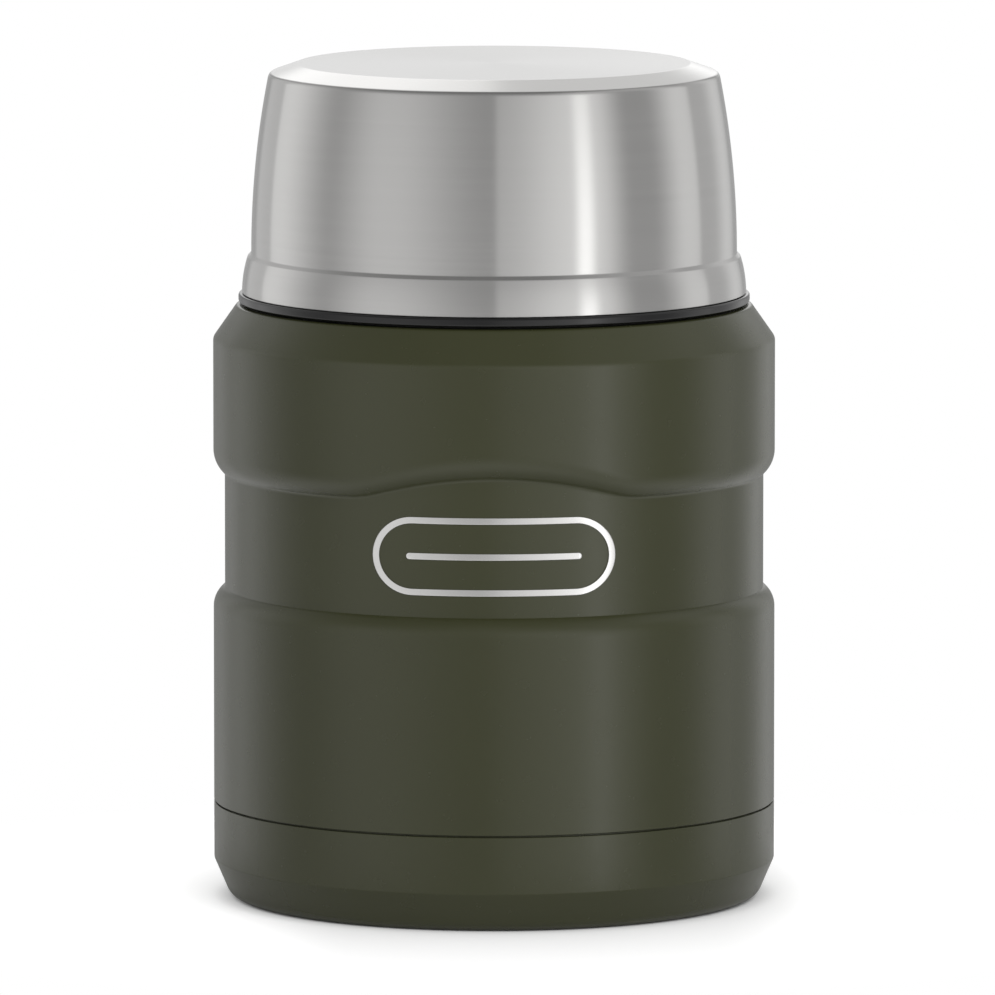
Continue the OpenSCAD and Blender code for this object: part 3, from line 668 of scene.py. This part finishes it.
def soft_ring(name, node, body, outer_r, width, low, high):
    """A sealing ring with rounded edges and two lips on its upper face."""
    inner_r = outer_r - width
    lip, edge, lip_edge = 0.18, 0.25, 0.1
    third = width / 3
    crest = third * 0.6
    valley_z = high - lip
    outline = rounded([
        (inner_r, low, edge), (outer_r, low, edge), (outer_r, valley_z, edge),
        (outer_r - crest, high, lip_edge), (outer_r - third, valley_z, lip_edge),
        (inner_r + third, valley_z, lip_edge), (inner_r + crest, high, lip_edge),
        (inner_r, valley_z, edge)])
    return new_piece(name, *spun(outline), body, "black_rubber", [silicone], replaces=[node])


# ---------- Stopper ----------

def fluted(r, depth, count):
    """The radius, by angle, of a circle with finger grooves."""
    half_share = 0.33

    def at(a):
        phase = (a * count / TURN + 0.5) % 1 - 0.5
        reach = min(1, abs(phase) / half_share)
        return r - depth * (0.5 + 0.5 * math.cos(math.pi * reach)) if reach < 1 else r
    return at


def quarter(steps):
    """Angles from 0 to a quarter turn."""
    return [math.pi / 2 * i / steps for i in range(steps + 1)]


def grip():
    grooves, steps_per_groove, depth = 36, 16, 0.65
    slot_r, slot_wall, floor_z = 15.1, 3.0, GRIP_Z + 1.7
    half_l = GRIP_R - slot_wall - slot_r
    spigot_r = PLUG_R - PLUG_WALL - FIT_GAP
    spigot_edge, edge, lip, fillet = 0.3, 1.4, 0.6, 1.0

    def flute(inset):
        return fluted(GRIP_R - inset, depth, grooves)

    def slot(grow):
        return stadium(half_l, slot_r + grow)

    outline = [(0, SPIGOT_Z), (spigot_r - spigot_edge, SPIGOT_Z), (spigot_r, SPIGOT_Z + spigot_edge),
               (spigot_r, GRIP_Z)]
    outline += [(flute(0.4), GRIP_Z), (flute(0.12), GRIP_Z + 0.12), (flute(0), GRIP_Z + 0.4)]
    for a in quarter(8):
        outline.append((flute(edge * (1 - math.cos(a))), GRIP_TOP_Z - edge * (1 - math.sin(a))))
    for a in quarter(6):
        outline.append((slot(lip * (1 - math.sin(a))), GRIP_TOP_Z - lip * (1 - math.cos(a))))
    for a in quarter(6):
        outline.append((slot(-fillet * (1 - math.cos(a))), floor_z + fillet * (1 - math.sin(a))))
    outline.append((0, floor_z))
    return new_piece("stopper_grip", *spun(outline, grooves * steps_per_groove), "stopper", "black_plastic",
                     [grip_plastic], replaces=["stopper_cap"])


def plug():
    bead_w, floor_t, edge = 0.5, 1.8, 0.05
    neck_r = GASKET_R - GASKET_W - FIT_GAP
    bead_r = neck_r + bead_w
    bore_r, neck_bore_r = PLUG_R - PLUG_WALL, neck_r - PLUG_WALL
    step_z, floor_z = GASKET_TOP_Z + PLUG_WALL, PLUG_LOW_Z + floor_t
    seat_low_z, seat_top_z = LEDGE_Z - FIT_GAP, GASKET_TOP_Z + FIT_GAP
    outline = rounded([
        (0, PLUG_LOW_Z), (neck_r, PLUG_LOW_Z, 0.2), (bead_r, PLUG_LOW_Z + bead_w, 0.15),
        (bead_r, seat_low_z, 0.1), (neck_r, seat_low_z, edge), (neck_r, seat_top_z, edge),
        (PLUG_R, seat_top_z, 0.5), (PLUG_R, GRIP_Z, 0.15), (bore_r, GRIP_Z, 0.15),
        (bore_r, step_z, 0.3), (neck_bore_r, step_z, 0.3), (neck_bore_r, floor_z, 0.5), (0, floor_z)])
    vertices, faces = joined(
        spun(outline),
        ridges(PLUG_R, THREAD_DEPTH, MOUTH_THREAD_Z, MESH_TURN),
    )
    return new_piece("plug_shell", vertices, faces, "stopper", "black_plastic", [grip_plastic],
                     replaces=["stopper_plug"])


# ---------- CAD nodes that keep their shape ----------

def finish_node(node, finish, bevel=0.0):
    """Gives a CAD node its material and, where it shows, softer edges."""
    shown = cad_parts[node]
    shown.data.materials.clear()
    shown.data.materials.append(finish)
    if bevel:
        weld = shown.modifiers.new("weld", "WELD")
        weld.merge_threshold = 0.000002
        soft = shown.modifiers.new("soft_edges", "BEVEL")
        soft.width = bevel * MM
        soft.segments = 3
        soft.limit_method = "ANGLE"
        soft.angle_limit = math.radians(40)
        soft.harden_normals = True


body_shell()
cup()
vessel()
badge()
lid_skin()
lid_ring()
liner()
soft_ring("lid_seal_ring", "lid_seal", "seal", SEAL_R, SEAL_W, SHOULDER_Z, SEAL_TOP_Z)
soft_ring("plug_gasket", "stopper_gasket", "gasket", GASKET_R, GASKET_W, LEDGE_Z, GASKET_TOP_Z)
grip()
plug()
finish_node("shell_end_plate", vessel_steel)
finish_node("evacuation_seal", solder)
finish_node("getter_capsule", solder)
finish_node("getter_strap", vessel_steel)
finish_node("radiation_foil", foil)
finish_node("base_pad", white_foam)
finish_node("stopper_foam", white_foam)
finish_node("spoon_bowl", spoon_steel, 0.25)
finish_node("spoon_handle", spoon_steel, 0.25)
finish_node("spoon_rivet", spoon_steel, 0.15)


# ---------- Floor, light and camera ----------

# The floor's own glow, which carries a painted shadow round the jar: its strength everywhere, and what is
# added to it at both sides of the jar, where the painted shadow is paler. SIDE_FADE is the distance over
# which that sets in, to either side of a line SIDE_SHIFT to the right of the axis, so the painted shadow is
# paler on the left
FLOOR_LIFT = 0.545
SIDE_LIFT = 0.35
SIDE_SHIFT = 0.007
SIDE_FADE = (0.03, 0.055)
# How far the painted contact shadow, ambient occlusion that darkens the floor's glow, reaches from where
# the jar meets the floor
PAINTED_SHADOW_REACH = 0.058
# Distances from the axis over which the floor gives way to the white world, as seen directly and mirrored
SEEN_FADE = (0.07, 0.12)
MIRRORED_FADE = (0.065, 0.12)


def floor():
    """A white round floor with the jar's real shadow and a painted shadow in its glow, fading into the
    white world past it.
    """
    radius, drop, steps = 0.2, 0.00005, 96
    rim = [(radius * math.cos(TURN * i / steps), radius * math.sin(TURN * i / steps), -drop)
           for i in range(steps)]
    mesh = bpy.data.meshes.new("floor")
    mesh.from_pydata(rim, [], [tuple(range(steps))])
    stage_floor = bpy.data.objects.new("floor", mesh)
    bpy.context.scene.collection.objects.link(stage_floor)
    made, nodes, place = material("white_floor")
    distance = nodes.add("ShaderNodeVectorMath", {0: place}, operation="LENGTH").outputs["Value"]
    path = nodes.add("ShaderNodeLightPath").outputs
    direct = nodes.math("MAXIMUM", path["Is Camera Ray"], path["Is Transmission Ray"])
    faded = nodes.math(
        "MAXIMUM", nodes.math("MULTIPLY", direct, nodes.window(distance, *SEEN_FADE)),
        nodes.math("MULTIPLY", path["Is Glossy Ray"], nodes.window(distance, *MIRRORED_FADE)))
    # Painted contact shadow: ambient occlusion darkens the floor's glow round the jar's foot
    painted_contact_shadow = nodes.add("ShaderNodeAmbientOcclusion", {"Distance": PAINTED_SHADOW_REACH}, samples=8).outputs["AO"]
    sideways = nodes.add("ShaderNodeSeparateXYZ", {"Vector": place}).outputs[0]
    across = nodes.math("ABSOLUTE", nodes.math("SUBTRACT", sideways, SIDE_SHIFT))
    # Painted shadow made paler at both sides of the jar by more glow there
    painted_shadow_paling = nodes.window(across, *SIDE_FADE)
    strength = nodes.math("MULTIPLY_ADD", painted_shadow_paling, SIDE_LIFT, FLOOR_LIFT)
    lift = nodes.math("MULTIPLY", direct, nodes.math("MULTIPLY", painted_contact_shadow, strength))
    matte = nodes.add("ShaderNodeBsdfDiffuse", {"Color": (0.8, 0.8, 0.8, 1)}).outputs[0]
    glow = nodes.add("ShaderNodeEmission", {"Strength": lift}).outputs[0]
    near = nodes.add("ShaderNodeAddShader", {0: matte, 1: glow}).outputs[0]
    clear = nodes.add("ShaderNodeBsdfTransparent").outputs[0]
    shown = nodes.add("ShaderNodeMixShader", {0: faded, 1: near, 2: clear}).outputs[0]
    nodes.add("ShaderNodeOutputMaterial", {"Surface": shown})
    mesh.materials.append(made)


# The room round the jar: its plain level, and soft upright panels as (from, to, softness at each,
# strength). Angles are degrees of azimuth from the badge's side, positive to the right
ROOM = 0.435
PANELS = [
    (-156, -133, 4, 1.0, 0.25),
    (-133, -102, 1.0, 22, 0.58),
    (-74, -25, 18, 26, 0.40),
    (1, 60, 0.5, 10, 0.27),
    (20, 61, 20, 11, 0.42),
    (94, 116, 12, 1.0, 0.53),
    (116, 158, 1.0, 4, 0.18),
    (137, 154, 8, 8, 0.22),
]
# Bright sides of the backdrop, and a high panel on the right, as (from, to) in azimuth, (from, to) in
# elevation, and the strength
WINGS = [
    (-184, -166, 14, 46, 0.8),
    (168, 178, 4, 16, 0.6),
    (45, 128, 36, 66, 0.22),
]
WING_SOFT = 3
WING_FOOT_SOFT = 5
WING_TOP_SOFT = 8
# The narrow key light's azimuth and strength. It falls off to both sides and upwards
KEY = (44.5, 1.15)
KEY_SIDES = (6.5, 1.5)
KEY_TOP = (30, -12)
# Elevations over which the panels fade out up and down, the walls darken to the ceiling's level ZENITH, and
# the ground turns white
PANEL_ENDS = (48, 14)
ZENITH = 0.25
CEILING = (75, 30)
GROUND = (-12, -40)
# The white backdrop stands narrow behind the jar and widens upwards, by BACKDROP_LEAN degrees on each side
# for each degree of height
BACKDROP_SIDES = (171, 177)
BACKDROP_TOP = (75, 55)
BACKDROP_LEAN = 0.5


def surround():
    """The world: a plain room with soft panels, and a white backdrop. The camera sees it white."""
    world = bpy.data.worlds.new("studio")
    bpy.context.scene.world = world
    world.use_nodes = True
    nodes = Nodes(world.node_tree)
    ray = nodes.add("ShaderNodeTexCoord").outputs["Generated"]
    axes = nodes.add("ShaderNodeSeparateXYZ", {"Vector": ray}).outputs
    azimuth = nodes.math("ARCTAN2", axes[0], nodes.math("MULTIPLY", axes[1], -1.0))
    azimuth = nodes.math("DEGREES", azimuth)
    elevation = nodes.math("DEGREES", nodes.math("ARCSINE", axes[2]))
    panels = 0.0
    for start, end, soft_start, soft_end, strength in PANELS:
        begun = nodes.window(azimuth, start - soft_start, start + soft_start)
        ended = nodes.window(azimuth, end + soft_end, end - soft_end)
        panels = nodes.math("MULTIPLY_ADD", nodes.math("MULTIPLY", begun, ended), strength, panels)
    off_key = nodes.math("ABSOLUTE", nodes.math("SUBTRACT", azimuth, KEY[0]))
    key = nodes.math("MULTIPLY", nodes.window(off_key, *KEY_SIDES), nodes.window(elevation, *KEY_TOP))
    panels = nodes.math("MULTIPLY_ADD", key, KEY[1], panels)
    height = nodes.window(nodes.math("ABSOLUTE", elevation), *PANEL_ENDS)
    low = nodes.window(elevation, *CEILING)
    level = nodes.math("MULTIPLY_ADD", panels, height, nodes.spread(low, ZENITH, ROOM))
    beyond = nodes.math("MULTIPLY_ADD", elevation, BACKDROP_LEAN, nodes.math("ABSOLUTE", azimuth))
    behind = nodes.window(beyond, *BACKDROP_SIDES)
    backdrop = nodes.math("MULTIPLY", behind, nodes.window(elevation, *BACKDROP_TOP))
    level = nodes.add("ShaderNodeMix", {"Factor": backdrop, "A": level, "B": 1.0}).outputs[0]
    for left, right, bottom, top, strength in WINGS:
        across = nodes.math("MULTIPLY", nodes.window(azimuth, left - WING_SOFT, left + WING_SOFT),
                            nodes.window(azimuth, right + WING_SOFT, right - WING_SOFT))
        upright = nodes.math(
            "MULTIPLY", nodes.window(elevation, bottom - WING_FOOT_SOFT, bottom + WING_FOOT_SOFT),
            nodes.window(elevation, top + WING_TOP_SOFT, top - WING_TOP_SOFT))
        level = nodes.math("MULTIPLY_ADD", nodes.math("MULTIPLY", across, upright), strength, level)
    ground = nodes.window(elevation, *GROUND)
    level = nodes.add("ShaderNodeMix", {"Factor": ground, "A": level, "B": 1.0}).outputs[0]
    path = nodes.add("ShaderNodeLightPath").outputs
    seen = nodes.math("MAXIMUM", path["Is Camera Ray"], path["Is Transmission Ray"])
    room = nodes.add("ShaderNodeBackground", {"Color": (1, 1, 1, 1), "Strength": level}).outputs[0]
    white = nodes.add("ShaderNodeBackground", {"Color": (1, 1, 1, 1), "Strength": 1.0}).outputs[0]
    shown = nodes.add("ShaderNodeMixShader", {0: seen, 1: room, 2: white}).outputs[0]
    nodes.add("ShaderNodeOutputWorld", {"Surface": shown})


def lamp(name, azimuth, elevation, distance, size, power):
    """A soft square lamp that points at the jar's middle."""
    middle_z = 0.07
    data = bpy.data.lights.new(name, "AREA")
    data.shape = "SQUARE"
    data.size = size
    data.energy = power
    a, e = math.radians(azimuth), math.radians(elevation)
    away = (math.sin(a) * math.cos(e), -math.cos(a) * math.cos(e), math.sin(e))
    lit = bpy.data.objects.new(name, data)
    lit.location = [c * distance for c in away]
    lit.location.z += middle_z
    lit.rotation_mode = "QUATERNION"
    lit.rotation_quaternion = Vector(away).to_track_quat("Z", "Y")
    lit.visible_camera = False
    lit.visible_glossy = False
    bpy.context.scene.collection.objects.link(lit)


def camera():
    """A long lens, a little above the jar's middle."""
    elevation, distance = math.radians(6.79), 2.380
    target_x, target_z = 0.00057, 0.0669
    data = bpy.data.cameras.new("camera")
    data.lens = 514.0
    data.sensor_width = 36
    data.clip_start, data.clip_end = 0.1, 20
    made = bpy.data.objects.new("camera", data)
    made.location = (target_x, -distance * math.cos(elevation), target_z + distance * math.sin(elevation))
    made.rotation_euler = (math.pi / 2 - elevation, 0, 0)
    bpy.context.scene.collection.objects.link(made)
    bpy.context.scene.camera = made


floor()
surround()
lamp("front_light", azimuth=15, elevation=35, distance=1.6, size=1.6, power=14)
camera()
bpy.context.scene.view_settings.view_transform = "Standard"
